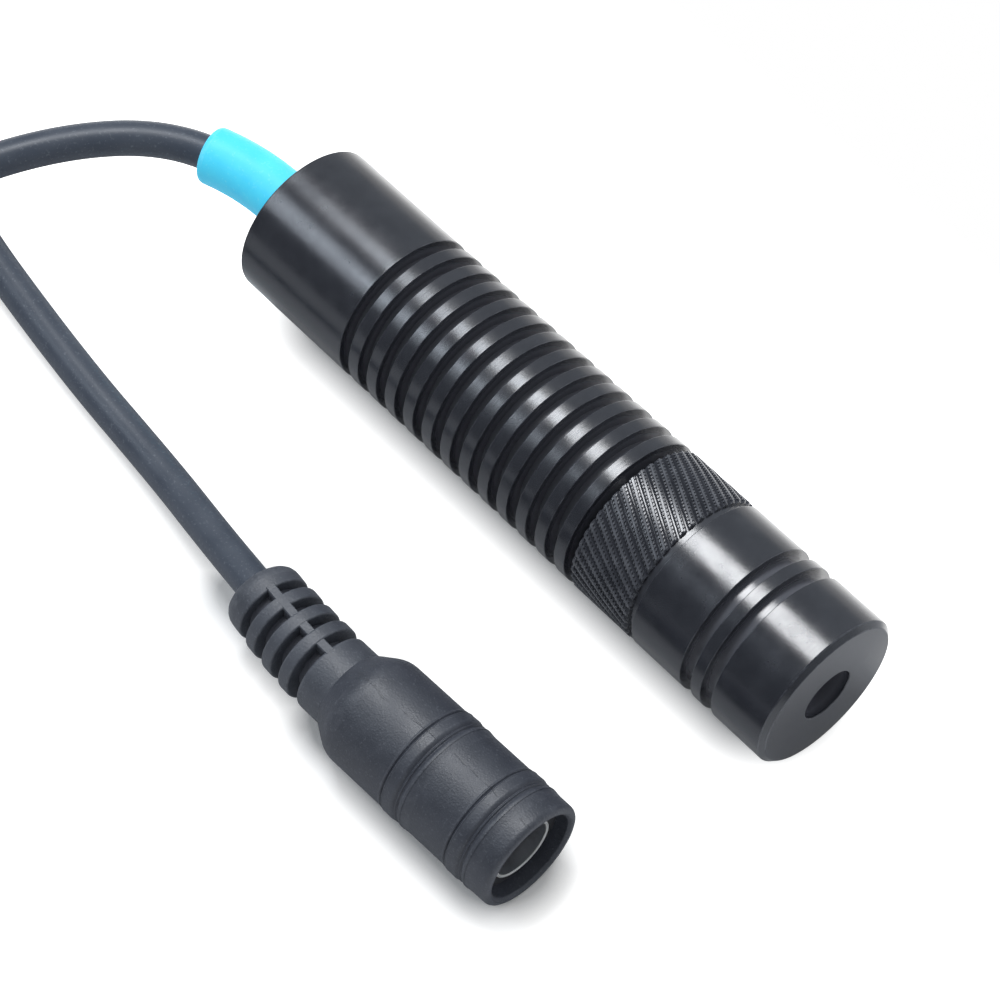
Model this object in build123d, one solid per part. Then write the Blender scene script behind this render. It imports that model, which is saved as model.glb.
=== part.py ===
from build123d import *
import math
import os

# A focusable laser diode module lying on its side, with a short lead and an in-line DC socket.
# The origin is the centre of the aperture on the front face. +X is the beam and +Z is up.

# Barrel, from the rear face forwards
module_radius = 8.0
end_chamfer = 0.5
rear_chamfer = 0.12
rear_land = 14.25
fin_count = 12
fin_pitch = 2.55
fin_gap = 1.25
fin_depth = 1.6
last_land = 1.3
barrel_bore = 5.4
seam = 0.85

# Focus head, from the knurl forwards
knurl_length = 7.22
knurl_teeth = 45
knurl_depth = 0.3
knurl_top_share = 0.62
knurl_turn_per_mm = 4.0
knurl_sections = 5
knurl_chamfer = 0.2
relief_width = 0.75
relief_depth = 0.5
cap_rear_land = 6.13
cap_groove = 1.35
cap_groove_depth = 1.1
cap_middle_land = 1.2
front_land = 6.3
aperture_radius = 2.7
aperture_length = 10.0
spigot_length = 9.0
cell_bore = 4.5

# Focus thread and its clearances
focus_travel = 0.75
running_clearance = 0.08
seat_clearance = 0.02
thrust_gap = 0.05
body_gap = 0.3

# Lens, its cell and what presses on it
cell_length = 7.0
cell_lip = 1.3
cell_window = 2.9
lens_radius = 3.2
lens_thickness = 2.6
lens_edge = 1.4
lens_play = 0.05
retainer_bore = 2.6
retainer_thickness = 1.2
retainer_slot = 0.7
washer_bore = 2.9
washer_thickness = 0.5
washer_clearance = 0.2
spring_radius = 3.4
spring_wire = 0.6
spring_turns = 4
spring_length = 7.0

# Diode and the holder that carries its heat to the barrel
holder_length = 10.0
nose_radius = 4.0
nose_bore = 2.0
diode_header_radius = 2.8
diode_header_thickness = 1.2
diode_cap_radius = 1.78
diode_cap_length = 2.3
diode_cap_wall = 0.25
diode_window_radius = 0.8
lead_radius = 0.22
lead_length = 6.5
lead_circle_radius = 1.27
jumper_radius = 0.4

# Driver board
board_length = 19.0
board_width = 9.0
board_thickness = 1.0
board_slot_depth = 2.0
board_slot_clearance = 0.05
chip_length = 5.0
chip_width = 4.0
chip_height = 1.5
chip_lead_pitch = 1.27
chip_lead_width = 0.4
chip_lead_reach = 1.0
chip_lead_thickness = 0.25
capacitor_length = 3.2
capacitor_width = 1.6
capacitor_height = 1.6
resistor_length = 2.0
resistor_width = 1.2
resistor_height = 0.5
resistor_count = 3
resistor_pitch = 2.4
trimmer_size = 3.2
trimmer_height = 1.4
trimmer_screw_radius = 1.0
trimmer_slot = 0.4
supply_wire_radius = 0.55
supply_wire_spread = 0.75
supply_wire_reach = 2.5

# Rear plug, sleeve and lead
plug_length = 3.2
plug_recess = 0.3
plug_lip = 0.8
sleeve_radius = 2.9
sleeve_past_bend = 5.0
sleeve_rounding = 0.6
cable_radius = 1.75
cable_clearance = 0.05

# In-line socket, measured back from its mouth
jack_yaw = 2.06
jack_lead_depth = 24.52
jack_radius = 5.5
jack_rim_rounding = 0.65
jack_mouth_bevel = 0.2
jack_cavity_radius = 4.55
jack_recess = 1.6
jack_body_length = 20.75
jack_shoulder = 2.45
jack_neck_radius = 4.0
band_offsets = [3.6, 11.54]
band_reach = 1.1
band_height = 0.14
band_groove = 0.32
band_groove_depth = 0.2
band_groove_pitch = 1.6

# The lead's route, from the jacket's end inside the barrel to the one inside the socket:
# forward of the barrel's rear face, across, and the height of its centre above the surface.
# It leaves level, crosses over its own return run and makes one loop on the surface.
jack_height = jack_radius + band_height
cable_points = [
    (4.0, 0.0, module_radius),
    (-7.6, 0.0, module_radius),
    (-16.7, -3.2, module_radius),
    (-23.5, -11.3, 7.7),
    (-28.3, -22.3, 6.7),
    (-27.0, -38.7, 3.1),
    (-33.9, -51.2, cable_radius),
    (-47.3, -56.4, cable_radius),
    (-60.9, -51.7, cable_radius),
    (-68.3, -39.4, cable_radius),
    (-66.1, -25.2, cable_radius),
    (-55.2, -15.8, cable_radius),
    (-40.9, -15.5, cable_radius),
    (-29.4, -21.2, cable_radius),
    (-6.0, -24.7, cable_radius),
    (10.0, -26.0, 1.9),
    (19.5, -27.7, 3.9),
    (28.6, -29.1, 5.7),
    (34.6, -29.66, jack_height),
    (39.6, -29.73, jack_height),
]

# Strain relief, bent sideways by the lead
relief_bend_radius = 75.0
relief_core_radius = 2.6
relief_root = 0.5
relief_neck_length = 2.7
relief_neck_radius = 3.9
relief_slot = 1.07
relief_ring = 1.3
relief_ring_radii = [4.02, 3.95, 3.86]
relief_flange = 2.56
relief_flange_radius = 3.7
relief_flange_rounding = 1.25
relief_spine = 0.87
relief_spine_reach = 3.65

# Inside the socket
contact_radius = 3.17
contact_wall = 0.3
contact_front = 1.0
contact_length = 9.98
pin_radius = 1.05
pin_front = 3.0
insulator_back = 2.2
tag_length = 4.6
tag_width = 1.6
tag_thickness = 0.4
tag_overlap = 2.0
tag_bedding = 0.1
jack_wire_radius = 0.55

# Places worked out from the sizes above
fin_run = (fin_count - 1) * fin_pitch + fin_gap
barrel_length = rear_land + fin_run + last_land
fin_root = module_radius - fin_depth
cap_length = cap_rear_land + 2 * cap_groove + cap_middle_land + front_land
head_rear = -(cap_length + relief_width + knurl_length)
barrel_front = head_rear - seam
barrel_rear = barrel_front - barrel_length
spigot_rear = head_rear - spigot_length
spigot_radius = barrel_bore - running_clearance

cell_front = -aperture_length
cell_rear = cell_front - cell_length
cell_pocket = lens_radius + lens_play
lens_sag = lens_thickness - lens_edge
lens_curve = (lens_radius ** 2 + lens_sag ** 2) / (2 * lens_sag)
lip_contact = lens_curve - math.sqrt(lens_curve ** 2 - cell_window ** 2)
lens_apex = cell_front - cell_lip + lip_contact
lens_back = lens_apex - lens_thickness
washer_front = cell_rear - thrust_gap
washer_rear = washer_front - washer_thickness
washer_radius = cell_bore - washer_clearance
spring_rear = washer_rear - spring_length

nose_front = spring_rear - focus_travel - thrust_gap
holder_front = spigot_rear - focus_travel - body_gap
holder_rear = holder_front - holder_length
header_rear = nose_front - diode_header_thickness
lead_rear = header_rear - lead_length
board_top = -jumper_radius
board_front = holder_rear + board_slot_depth - board_slot_clearance
board_rear = board_front - board_length

plug_rear = barrel_rear + plug_recess
plug_front = plug_rear + plug_length
sleeve_front = plug_front - plug_lip
sleeve_bore = cable_radius + cable_clearance

route = [(barrel_rear + x, y, height - module_radius) for x, y, height in cable_points]
jack_x = route[-1][0] + jack_lead_depth * math.cos(math.radians(jack_yaw))
jack_y = route[-1][1] + jack_lead_depth * math.sin(math.radians(jack_yaw))
jack_z = jack_height - module_radius
shoulder_end = jack_body_length + jack_shoulder
insulator_front = jack_recess
insulator_end = contact_front + contact_length + insulator_back
tag_y = supply_wire_spread + jack_wire_radius - tag_bedding + tag_thickness / 2


# Shapes used by several pieces
def turned(outline):
    """Turn a closed outline of (x, radius) points about the module's axis."""
    return revolve(make_face(Polyline(*outline, close=True)), Axis.X)


def rod(x_from, x_to, radius, y=0.0, z=0.0):
    face = Plane(origin=(x_from, y, z), z_dir=(1, 0, 0)) * Circle(radius)
    return extrude(face, x_to - x_from)


def tube(x_from, x_to, outer, inner):
    return turned([(x_from, inner), (x_from, outer), (x_to, outer), (x_to, inner)])


def block(x_middle, y_middle, z_base, length, width, height):
    return Pos(x_middle, y_middle, z_base + height / 2) * Box(length, width, height)


# Barrel and focus head
def make_barrel():
    outline = [(barrel_rear, barrel_bore)]
    outline.append((barrel_rear, module_radius - rear_chamfer))
    outline.append((barrel_rear + rear_chamfer, module_radius))
    for i in range(fin_count):
        gap_rear = barrel_rear + rear_land + i * fin_pitch
        gap_front = gap_rear + fin_gap
        outline.append((gap_rear, module_radius))
        outline.append((gap_rear, fin_root))
        outline.append((gap_front, fin_root))
        outline.append((gap_front, module_radius))
    outline.append((barrel_front, module_radius))
    outline.append((barrel_front, barrel_bore))
    return turned(outline)


def knurl_section(x, turn):
    pitch = 360 / knurl_teeth
    tip = module_radius
    root = module_radius - knurl_depth
    half_top = pitch * knurl_top_share / 2
    points = []
    for i in range(knurl_teeth):
        middle = i * pitch + turn
        for angle, radius in ((middle - half_top, tip), (middle + half_top, tip), (middle + pitch / 2, root)):
            points.append((x, radius * math.cos(math.radians(angle)), radius * math.sin(math.radians(angle))))
    return make_face(Polyline(*points, close=True))


def make_knurl():
    sections = []
    for i in range(knurl_sections + 1):
        along = knurl_length * i / knurl_sections
        sections.append(knurl_section(head_rear + along, knurl_turn_per_mm * along))
    teeth = loft(sections, ruled=True)
    bevelled = turned([
        (head_rear, 0),
        (head_rear, module_radius - knurl_depth),
        (head_rear + knurl_chamfer, module_radius + knurl_chamfer),
        (head_rear + knurl_length, module_radius + knurl_chamfer),
        (head_rear + knurl_length, 0),
    ])
    return teeth & bevelled


def make_focus_head():
    knurl_front = head_rear + knurl_length
    cap_rear = knurl_front + relief_width
    groove_root = module_radius - cap_groove_depth
    outline = [
        (spigot_rear, 0),
        (spigot_rear, spigot_radius),
        (head_rear, spigot_radius),
        (head_rear, module_radius - knurl_depth - seat_clearance),
        (knurl_front, module_radius - knurl_depth - seat_clearance),
        (knurl_front, module_radius - relief_depth),
        (cap_rear, module_radius - relief_depth),
        (cap_rear, module_radius),
    ]
    groove_rear = cap_rear + cap_rear_land
    for i in range(2):
        outline.append((groove_rear, module_radius))
        outline.append((groove_rear, groove_root))
        outline.append((groove_rear + cap_groove, groove_root))
        outline.append((groove_rear + cap_groove, module_radius))
        groove_rear += cap_groove + cap_middle_land
    outline.append((-end_chamfer, module_radius))
    outline.append((0, module_radius - end_chamfer))
    outline.append((0, 0))
    blank = turned(outline) + make_knurl()
    bored = blank - rod(spigot_rear - 1, cell_front, cell_bore)
    return bored - rod(cell_front - 1, 1, aperture_radius)


# Lens group, carried by the head
def make_lens_cell():
    return turned([
        (cell_rear, cell_pocket),
        (cell_rear, cell_bore - seat_clearance),
        (cell_front, cell_bore - seat_clearance),
        (cell_front, cell_window),
        (cell_front - cell_lip, cell_window),
        (cell_front - cell_lip, cell_pocket),
    ])


def make_lens():
    rim_front = lens_back + lens_edge
    sides = Polyline((lens_apex, 0), (lens_back, 0), (lens_back, lens_radius), (rim_front, lens_radius))
    half_way = lens_curve * math.sin(math.asin(lens_radius / lens_curve) / 2)
    crown_x = lens_apex - lens_curve + math.sqrt(lens_curve ** 2 - half_way ** 2)
    crown = ThreePointArc((rim_front, lens_radius), (crown_x, half_way), (lens_apex, 0))
    return revolve(make_face(sides + crown), Axis.X)


def make_lens_retainer():
    ring = tube(lens_back - retainer_thickness, lens_back, cell_pocket - seat_clearance, retainer_bore)
    slot_middle = lens_back - retainer_thickness
    return ring - block(slot_middle, 0, -retainer_slot / 2, retainer_thickness, 2 * cell_pocket, retainer_slot)


def make_thrust_washer():
    return tube(washer_rear, washer_front, washer_radius, washer_bore)


def make_focus_spring():
    rise = spring_length - spring_wire
    start = spring_rear + spring_wire / 2
    path = Helix(rise / spring_turns, rise, spring_radius, center=(start, 0, 0), direction=(1, 0, 0))
    wire = Plane(origin=path @ 0, z_dir=path % 0) * Circle(spring_wire / 2)
    return sweep(wire, path=path, is_frenet=True)


# Diode and its holder
def make_diode_holder():
    outline = [
        (holder_rear, nose_bore),
        (holder_rear, barrel_bore),
        (holder_front, barrel_bore),
        (holder_front, nose_radius),
        (nose_front, nose_radius),
        (nose_front, diode_header_radius),
        (header_rear, diode_header_radius),
        (header_rear, nose_bore),
    ]
    slot_width = board_width + 2 * board_slot_clearance
    slot_height = board_thickness + 2 * board_slot_clearance
    slot_base = board_top - board_thickness - board_slot_clearance
    slot = block(holder_rear, 0, slot_base, 2 * board_slot_depth, slot_width, slot_height)
    return turned(outline) - slot


def make_diode_header():
    header = rod(header_rear, nose_front, diode_header_radius)
    for y, z in lead_places():
        header -= rod(header_rear - 1, nose_front + 1, lead_radius, y, z)
    return header


def lead_places():
    return [(lead_circle_radius, 0), (-lead_circle_radius, 0), (0, -lead_circle_radius)]


def make_diode_leads():
    return [rod(lead_rear, nose_front, lead_radius, y, z) for y, z in lead_places()]


def make_diode_cap():
    cap_front = nose_front + diode_cap_length
    inner = diode_cap_radius - diode_cap_wall
    return turned([
        (nose_front, inner),
        (nose_front, diode_cap_radius),
        (cap_front, diode_cap_radius),
        (cap_front, diode_window_radius),
        (cap_front - diode_cap_wall, diode_window_radius),
        (cap_front - diode_cap_wall, inner),
    ])


def make_diode_window():
    cap_front = nose_front + diode_cap_length
    return rod(cap_front - diode_cap_wall, cap_front, diode_window_radius)


def make_diode_jumpers():
    end = board_front - board_slot_depth
    return [rod(end, lead_rear, jumper_radius, y, 0) for y in (lead_circle_radius, -lead_circle_radius)]


# Driver board and what is soldered to it
def make_driver_board():
    middle = (board_front + board_rear) / 2
    return block(middle, 0, board_top - board_thickness, board_length, board_width, board_thickness)


def board_x(share):
    """A place along the board, from 0 at its front edge to 1 at its rear edge."""
    return board_front + (board_rear - board_front) * share


def make_driver_chip():
    middle = board_x(0.42)
    chip = block(middle, 0, board_top, chip_length, chip_width, chip_height)
    for i in range(4):
        x = middle + (i - 1.5) * chip_lead_pitch
        for side in (1, -1):
            y = side * (chip_width + chip_lead_reach) / 2
            chip += block(x, y, board_top, chip_lead_width, chip_lead_reach, chip_lead_thickness)
    return chip


def make_storage_capacitor():
    x = board_x(0.68)
    y = board_width / 4
    body = block(x, y, board_top, capacitor_length, capacitor_width, capacitor_height)
    return chamfer(body.edges().filter_by(Axis.X), capacitor_width / 10)


def make_board_resistors():
    y = board_width / 2 - resistor_width
    z = board_top - board_thickness - resistor_height
    middle = board_x(0.5)
    solids = []
    for i in range(resistor_count):
        x = middle + (i - (resistor_count - 1) / 2) * resistor_pitch
        solids.append(block(x, y, z, resistor_length, resistor_width, resistor_height))
    return solids


def make_current_trimmer():
    x = board_x(0.68)
    y = -board_width / 4
    body = block(x, y, board_top, trimmer_size, trimmer_size, trimmer_height)
    top = board_top + trimmer_height
    body += Pos(x, y, top + trimmer_slot / 2) * Cylinder(trimmer_screw_radius, trimmer_slot)
    return body - block(x, y, top, 2 * trimmer_screw_radius, trimmer_slot, 2 * trimmer_slot)


def make_supply_wire(side):
    return rod(
        route[0][0],
        board_rear + supply_wire_reach,
        supply_wire_radius,
        side * supply_wire_spread,
        board_top + supply_wire_radius,
    )


# Rear plug, sleeve and lead
def make_rear_plug():
    return turned([
        (plug_rear, sleeve_radius),
        (plug_rear, barrel_bore),
        (plug_front, barrel_bore),
        (plug_front, sleeve_bore),
        (sleeve_front, sleeve_bore),
        (sleeve_front, sleeve_radius),
    ])


def route_radii():
    """Each corner's radius: as large as its two runs allow."""
    points = [Vector(*place) for place in route]
    radii = []
    for before, corner, after in zip(points, points[1:], points[2:]):
        first = corner - before
        second = after - corner
        turn = math.radians(first.get_angle(second))
        radii.append(0.45 * min(first.length, second.length) / math.tan(turn / 2))
    return radii


def make_cable_path():
    return FilletPolyline(*route, radius=route_radii())


def make_cable():
    path = make_cable_path()
    section = Plane(origin=path @ 0, z_dir=path % 0) * Circle(cable_radius)
    return sweep(section, path=path)


def make_cable_sleeve():
    corner = Vector(*route[1])
    onward = (Vector(*route[2]) - corner).normalized()
    start = (sleeve_front, 0, 0)
    end = corner + onward * sleeve_past_bend
    path = FilletPolyline(start, corner, end, radius=route_radii()[0])
    plane = Plane(origin=path @ 0, z_dir=path % 0)
    outer = sweep(plane * Circle(sleeve_radius), path=path)
    rim = outer.edges().filter_by(GeomType.CIRCLE).sort_by_distance(end)[0]
    outer = fillet(rim, sleeve_rounding)
    return outer - sweep(plane * Circle(sleeve_bore), path=path)


# In-line socket, made along its own axis with the mouth at x = 0, then put in place
def in_place(shape):
    return Pos(jack_x, jack_y, jack_z) * Rot(0, 0, jack_yaw) * shape


def out_of_place(shape):
    return Rot(0, 0, -jack_yaw) * Pos(-jack_x, -jack_y, -jack_z) * shape


def bend_place(along):
    """Where the strain relief's axis is at a length behind the shoulder, facing along it."""
    turn = along / relief_bend_radius
    x = -shoulder_end - relief_bend_radius * math.sin(turn)
    y = relief_bend_radius * (1 - math.cos(turn))
    return Pos(x, y, 0) * Rot(0, 0, -math.degrees(turn))


def relief_piece(along, length, radius):
    return bend_place(along + length / 2) * Rot(0, 90, 0) * Cylinder(radius, length)


def make_relief_core(start, end):
    """The core and the two spines that tie the rings together, from one length to another."""
    places = [bend_place(along).position for along in (start, (start + end) / 2, end)]
    path = ThreePointArc(*places)
    profile = Circle(relief_core_radius) + Rectangle(relief_spine, 2 * relief_spine_reach)
    return sweep(Plane(origin=path @ 0, x_dir=(0, 1, 0), z_dir=path % 0) * profile, path=path)


def make_strain_relief():
    relief = relief_piece(-relief_root, relief_root + relief_neck_length, relief_neck_radius)
    along = relief_neck_length + relief_slot
    for radius in relief_ring_radii:
        relief += relief_piece(along, relief_ring, radius)
        along += relief_ring + relief_slot
    flange = relief_piece(along, relief_flange, relief_flange_radius)
    rear_rim = flange.edges().filter_by(GeomType.CIRCLE).sort_by(Axis.X)[0]
    relief += fillet(rear_rim, relief_flange_rounding)
    return relief + make_relief_core(relief_neck_length / 2, along + relief_flange / 2)


def shell_outline():
    outline = [(-shoulder_end, 0), (-shoulder_end, jack_neck_radius), (-jack_body_length, jack_radius)]
    band_radius = jack_radius + band_height
    groove_radius = jack_radius - band_groove_depth
    for front in sorted(band_offsets, reverse=True):
        for i in (1, 0):
            groove_front = front + i * band_groove_pitch
            outline.append((-groove_front - band_groove, jack_radius if i else band_radius))
            outline.append((-groove_front - band_groove, groove_radius))
            outline.append((-groove_front, groove_radius))
            outline.append((-groove_front, band_radius))
        outline.append((-front + band_reach - band_height, band_radius))
        outline.append((-front + band_reach, jack_radius))
    outline.append((0, jack_radius))
    outline.append((0, 0))
    return outline


def make_jack_shell(*moulded_in):
    body = turned(shell_outline())
    body = fillet(body.edges().filter_by(GeomType.CIRCLE).sort_by(Axis.X)[-1], jack_rim_rounding)
    shell = body + make_strain_relief()
    shell -= turned([
        (-insulator_end, 0),
        (-insulator_end, jack_cavity_radius),
        (-jack_mouth_bevel, jack_cavity_radius),
        (jack_mouth_bevel, jack_cavity_radius + 2 * jack_mouth_bevel),
        (jack_mouth_bevel, 0),
    ])
    return shell - list(moulded_in)


def make_jack_insulator():
    seat_end = contact_front + contact_length
    return turned([
        (-insulator_end, pin_radius),
        (-insulator_end, jack_cavity_radius),
        (-insulator_front, jack_cavity_radius),
        (-insulator_front, contact_radius),
        (-seat_end, contact_radius),
        (-seat_end, pin_radius),
    ])


def make_jack_contact():
    return tube(-contact_front - contact_length, -contact_front, contact_radius, contact_radius - contact_wall)


def make_jack_pin():
    pin = rod(-insulator_end, -pin_front, pin_radius)
    return fillet(pin.edges().filter_by(GeomType.CIRCLE).sort_by(Axis.X)[-1], pin_radius / 3)


def make_jack_tags():
    middle = -insulator_end - tag_length / 2
    return [block(middle, side * tag_y, -tag_width / 2, tag_length, tag_thickness, tag_width) for side in (1, -1)]


def make_jack_wires(tags, lead):
    rear = -jack_lead_depth - jack_wire_radius
    front = -insulator_end - tag_length + tag_overlap
    wires = [rod(rear, front, jack_wire_radius, side * supply_wire_spread) for side in (1, -1)]
    return [wire - [*tags, lead] for wire in wires]


def write(name, shape):
    solids = shape if isinstance(shape, list) else [shape]
    found = [solid for item in solids for solid in item.solids()]
    whole = found[0] if len(found) == 1 else Compound(children=found)
    whole.label = name
    export_step(whole, os.path.join("parts", name + ".step"))
    print(name, len(found), round(sum(solid.volume for solid in found), 2))


os.makedirs("parts", exist_ok=True)

cable = make_cable()
insulator = make_jack_insulator()
tags = make_jack_tags()
lead_in_jack = out_of_place(cable)
jack_wires = make_jack_wires(tags, lead_in_jack)
shell = make_jack_shell(*tags, *jack_wires, lead_in_jack)

write("barrel", make_barrel())
write("focus_head", make_focus_head())
write("lens_cell", make_lens_cell())
write("collimating_lens", make_lens())
write("lens_retaining_ring", make_lens_retainer())
write("thrust_washer", make_thrust_washer())
write("focus_spring", make_focus_spring())
write("diode_holder", make_diode_holder())
write("diode_header", make_diode_header())
write("diode_leads", make_diode_leads())
write("diode_cap", make_diode_cap())
write("diode_window", make_diode_window())
write("diode_jumpers", make_diode_jumpers())
write("driver_board", make_driver_board())
write("driver_chip", make_driver_chip())
write("storage_capacitor", make_storage_capacitor())
write("board_resistors", make_board_resistors())
write("current_trimmer", make_current_trimmer())
write("supply_wire_red", make_supply_wire(1))
write("supply_wire_black", make_supply_wire(-1))
write("rear_plug", make_rear_plug())
write("cable_sleeve", make_cable_sleeve())
write("cable", cable)
write("jack_shell", in_place(shell))
write("jack_insulator", in_place(insulator))
write("jack_contact_sleeve", in_place(make_jack_contact()))
write("jack_centre_pin", in_place(make_jack_pin()))
write("jack_solder_tags", [in_place(tag) for tag in tags])
write("jack_wires", [in_place(wire) for wire in jack_wires])

path_length = make_cable_path().length
print("route radii", [round(radius, 1) for radius in route_radii()])
print("cable length", round(path_length, 1))
print("cable volume over section times length", round(cable.volume / (math.pi * cable_radius ** 2 * path_length), 4))
print("module length", round(-barrel_rear, 3))
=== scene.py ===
import bpy
import bmesh
import math
from mathutils import Matrix, Vector


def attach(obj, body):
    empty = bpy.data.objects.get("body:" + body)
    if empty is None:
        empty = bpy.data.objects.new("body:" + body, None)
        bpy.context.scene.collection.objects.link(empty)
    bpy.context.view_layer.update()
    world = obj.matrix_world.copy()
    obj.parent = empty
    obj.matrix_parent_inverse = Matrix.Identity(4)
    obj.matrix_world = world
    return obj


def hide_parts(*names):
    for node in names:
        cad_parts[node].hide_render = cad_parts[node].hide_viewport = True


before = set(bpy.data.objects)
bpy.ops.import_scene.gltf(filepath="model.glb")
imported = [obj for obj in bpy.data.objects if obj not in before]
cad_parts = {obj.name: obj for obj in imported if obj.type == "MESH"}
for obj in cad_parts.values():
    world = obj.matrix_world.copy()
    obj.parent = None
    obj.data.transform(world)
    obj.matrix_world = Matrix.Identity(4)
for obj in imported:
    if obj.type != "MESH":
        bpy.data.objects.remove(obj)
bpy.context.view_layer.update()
print("frame loaded")

mm = 0.001
floorHeight = -8.0 * mm


def placed(name, data):
    holder = bpy.data.objects.new(name, data)
    bpy.context.collection.objects.link(holder)
    return holder


# Camera at the photograph's angle, with a long lens close to the object
viewSizes = {
    "place": (0.09064, -0.11996, 0.25726),
    "right": (0.66954, 0.74278, 0.0),
    "down": (0.62246, -0.56031, -0.54644),
    "lens": 122.88,
    "sensor": 36,
    "clip": (0.01, 20),
}


def makeCamera(sizes):
    right = Vector(sizes["right"]).normalized()
    down = Vector(sizes["down"])
    down = (down - right * down.dot(right)).normalized()
    back = right.cross(-down)
    camera = bpy.data.cameras.new("camera")
    camera.lens = sizes["lens"]
    camera.sensor_width = sizes["sensor"]
    camera.clip_start, camera.clip_end = sizes["clip"]
    holder = placed("camera", camera)
    turn = Matrix((right, -down, back)).transposed().to_4x4()
    holder.matrix_world = Matrix.Translation(sizes["place"]) @ turn
    bpy.context.scene.camera = holder


makeCamera(viewSizes)
print("camera set")


# Small helpers for shader trees
def newTree(material):
    material.use_nodes = True
    tree = material.node_tree
    tree.nodes.clear()
    return tree


def newMaterial(name):
    material = bpy.data.materials.new(name)
    return material, newTree(material)


def addNode(tree, kind, settings=None, **inputs):
    node = tree.nodes.new(kind)
    for name, value in (settings or {}).items():
        setattr(node, name, value)
    for name, value in inputs.items():
        setInput(tree, node, name, value)
    return node


def setInput(tree, node, name, value):
    socket = node.inputs[name] if name in node.inputs else node.inputs[int(name[1:])]
    if isinstance(value, bpy.types.NodeSocket):
        tree.links.new(value, socket)
    else:
        socket.default_value = (*value, 1) if socket.type == "RGBA" else value


def newGroup(name, inputs, *outputs):
    group = bpy.data.node_groups.new(name, "ShaderNodeTree")
    kinds = {1: "NodeSocketFloat", 3: "NodeSocketVector", 4: "NodeSocketColor"}
    for label, value in inputs.items():
        kind = kinds[len(value) if isinstance(value, tuple) else 1]
        group.interface.new_socket(label, in_out="INPUT", socket_type=kind).default_value = value
    for label in outputs:
        kind = kinds[4 if label == "Colour" else 1]
        group.interface.new_socket(label, in_out="OUTPUT", socket_type=kind)
    start = group.nodes.new("NodeGroupInput")
    end = group.nodes.new("NodeGroupOutput")
    return group, start.outputs, end.inputs


def useGroup(tree, group, **values):
    return addNode(tree, "ShaderNodeGroup", {"node_tree": group}, **values).outputs


def mathNode(tree, operation, *inputs):
    values = {"_" + str(i): value for i, value in enumerate(inputs)}
    return addNode(tree, "ShaderNodeMath", {"operation": operation}, **values).outputs[0]


def vectorNode(tree, operation, *inputs):
    values = {"_" + str(i): value for i, value in enumerate(inputs)}
    return addNode(tree, "ShaderNodeVectorMath", {"operation": operation}, **values).outputs


def mixColour(tree, factor, first, second):
    settings = {"data_type": "RGBA", "clamp_factor": True}
    return addNode(tree, "ShaderNodeMix", settings, _0=factor, _6=first, _7=second).outputs[2]


def mapRange(tree, value, low, high, toLow=0.0, toHigh=1.0):
    return addNode(tree, "ShaderNodeMapRange", {"clamp": True}, _0=value, _1=low, _2=high, _3=toLow,
                   _4=toHigh).outputs[0]


def mixShader(tree, factor, first, second):
    return addNode(tree, "ShaderNodeMixShader", _0=factor, _1=first, _2=second).outputs[0]


def noise(tree, place, scale, detail=2.0, roughness=0.5):
    return addNode(tree, "ShaderNodeTexNoise", Vector=place, Scale=scale, Detail=detail,
                   Roughness=roughness).outputs[0]


def objectPlace(tree):
    return addNode(tree, "ShaderNodeTexCoord").outputs["Object"]


# how rubbed each point is: real wear, and on metals and the knurl's tops also a painted glint
def wornAttribute(tree):
    return addNode(tree, "ShaderNodeAttribute", {"attribute_name": "worn"}).outputs["Fac"]


def splitPlace(tree, place):
    return addNode(tree, "ShaderNodeSeparateXYZ", _0=place).outputs


# Turning lines round the beam axis: fine rings, uneven along and a little round the bar.
# Here and below, a noise is a scale, a detail and a roughness, and a span is two limits.
turnedSizes = {
    "rings": (1.0, 3.0, 0.65),
    "cloud": (420.0, 4.0, 0.6),
    "specks": (5200.0, 1.0, 0.5),
    "speckHeight": 0.7,
}


def makeTurnedGrain(sizes):
    inputs = {"Rings": 5000.0, "Patches": 140.0}
    group, given, out = newGroup("turned grain", inputs, "Height", "Cloud")
    place = objectPlace(group)
    x, y, z = splitPlace(group, place)
    along = mathNode(group, "MULTIPLY", x, given["Rings"])
    across = mathNode(group, "MULTIPLY", y, given["Patches"])
    upward = mathNode(group, "MULTIPLY", z, given["Patches"])
    stretched = addNode(group, "ShaderNodeCombineXYZ", _0=along, _1=across, _2=upward).outputs[0]
    rings = noise(group, stretched, *sizes["rings"])
    specks = noise(group, place, *sizes["specks"])
    height = mathNode(group, "MULTIPLY_ADD", specks, sizes["speckHeight"], rings)
    group.links.new(height, out["Height"])
    group.links.new(noise(group, place, *sizes["cloud"]), out["Cloud"])
    return group


# Moulded surface: fine grain with softer, broader unevenness, and lighter flecks. The looks give
# the scales of its two noises.
fineSizes = {
    "grain": (2.0, 0.5),
    "waves": (4.0, 0.55),
    "cellHeight": 0.4,
    "waveHeight": 0.6,
    "fleckSpan": (0.6, 0.72),
}


def makeFineGrain(sizes):
    inputs = {"Grain": 6000.0, "Waves": 500.0}
    group, given, out = newGroup("fine grain", inputs, "Height", "Cloud", "Flecks")
    place = objectPlace(group)
    grain = noise(group, place, given["Grain"], *sizes["grain"])
    waves = noise(group, place, given["Waves"], *sizes["waves"])
    cells = addNode(group, "ShaderNodeTexVoronoi", Vector=place, Scale=given["Grain"]).outputs[0]
    height = mathNode(group, "MULTIPLY_ADD", cells, sizes["cellHeight"], grain)
    height = mathNode(group, "MULTIPLY_ADD", waves, sizes["waveHeight"], height)
    group.links.new(height, out["Height"])
    group.links.new(waves, out["Cloud"])
    group.links.new(mapRange(group, grain, *sizes["fleckSpan"]), out["Flecks"])
    return group


# Rubbed edges: the mesh carries how near each point is to an outer edge
wearSizes = {"patches": (900.0, 5.0, 0.7), "patchSpan": (0.42, 0.68)}


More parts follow.
